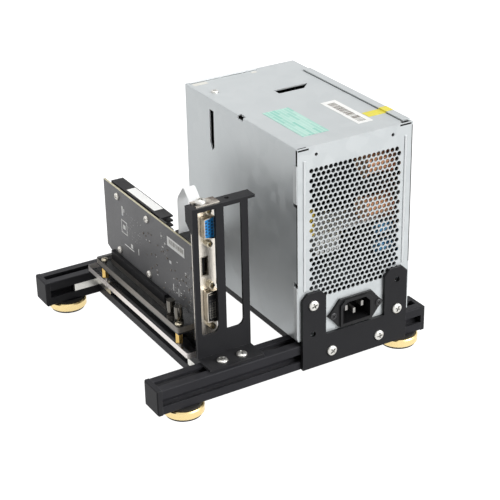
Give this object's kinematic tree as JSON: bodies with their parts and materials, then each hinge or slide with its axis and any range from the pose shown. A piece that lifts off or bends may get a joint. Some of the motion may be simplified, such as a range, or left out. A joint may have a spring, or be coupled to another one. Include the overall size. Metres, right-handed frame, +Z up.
{
  "type": "gpu mounting frame",
  "caption": "Bench frame of slotted black rails on gold feet with a power supply, a two-slot card stand and a graphics card in an adapter dock.",
  "frame": {"origin": "middle of the footprint, on the floor under the feet", "axes": "+X along the front rail to the right, +Y from the front rail to the rear rail, +Z up"},
  "size_m": [0.23, 0.22, 0.1852],
  "materials": {
    "rail_black": "satin anodised",
    "cap_grey": "matte",
    "steel": "satin",
    "foot_gold": "gloss anodised",
    "rubber_black": "matte",
    "sheet_black": "satin",
    "acrylic": "clear",
    "brass": "bright",
    "board_dark": "matte",
    "plastic_black": "matte",
    "nickel": "satin",
    "socket_metal": "bright",
    "blue_plastic": "matte",
    "heatsink_black": "satin",
    "zinc_sheet": "satin",
    "ribbon_grey": "matte",
    "copper_wire": "gloss",
    "film_yellow": "gloss",
    "blue_coat": "gloss",
    "sink_grey": "satin"
  },
  "bodies": {
    "frame": {"front_rail": "rail_black", "rear_rail": "rail_black", "dock_rail": "rail_black", "supply_rail": "rail_black", "end_caps": "cap_grey", "corner_connectors": "steel", "connector_set_screws": "steel", "foot_cup_front_left": "foot_gold", "foot_cup_front_right": "foot_gold", "foot_cup_rear_left": "foot_gold", "foot_cup_rear_right": "foot_gold", "foot_pads": "rubber_black", "foot_spacers": "rubber_black", "foot_screws": "steel", "slot_nuts": "steel", "supply_plate": "sheet_black", "supply_plate_screws": "steel", "supply_pads": "rubber_black", "card_stand": "sheet_black", "stand_screws": "steel", "card_clamp_screw": "steel", "dock_lower_plate": "acrylic", "dock_upper_plate": "acrylic", "dock_standoffs": "brass", "dock_screws": "steel", "adapter_board": "board_dark", "card_edge_slot": "plastic_black", "adapter_capacitors": "plastic_black", "adapter_power_socket": "plastic_black", "host_link_socket": "nickel", "card_board": "board_dark", "card_bracket": "nickel", "graphics_chip": "plastic_black", "memory_chips": "plastic_black", "heatsink": "heatsink_black", "heatsink_screws": "steel", "analog_socket_shell": "socket_metal", "analog_socket_insert": "blue_plastic", "compact_video_socket": "socket_metal", "wide_socket_shell": "socket_metal", "wide_socket_insert": "plastic_black", "jack_screws": "socket_metal", "ribbon_cable": "ribbon_grey", "ribbon_header": "plastic_black", "supply_case": "zinc_sheet", "supply_cover": "zinc_sheet", "supply_grille_panel": "zinc_sheet", "supply_case_screws": "steel", "mains_inlet": "plastic_black", "mains_inlet_pins": "brass", "mains_inlet_screws": "steel", "supply_board": "board_dark", "supply_coils": "copper_wire", "bulk_capacitors": "plastic_black", "blue_capacitors": "blue_coat", "film_capacitor": "film_yellow", "cooling_shelf": "sink_grey", "fan_housing": "plastic_black", "cable_grommet": "rubber_black"},
    "fan_rotor": {"fan_rotor": "plastic_black"}
  },
  "joints": [
    {"name": "fan_spin", "type": "hinge", "parent": "frame", "child": "fan_rotor", "pos_m": [0.0489, 0.0405, 0.1284], "axis": [0, 1, 0], "continuous": true}
  ]
}
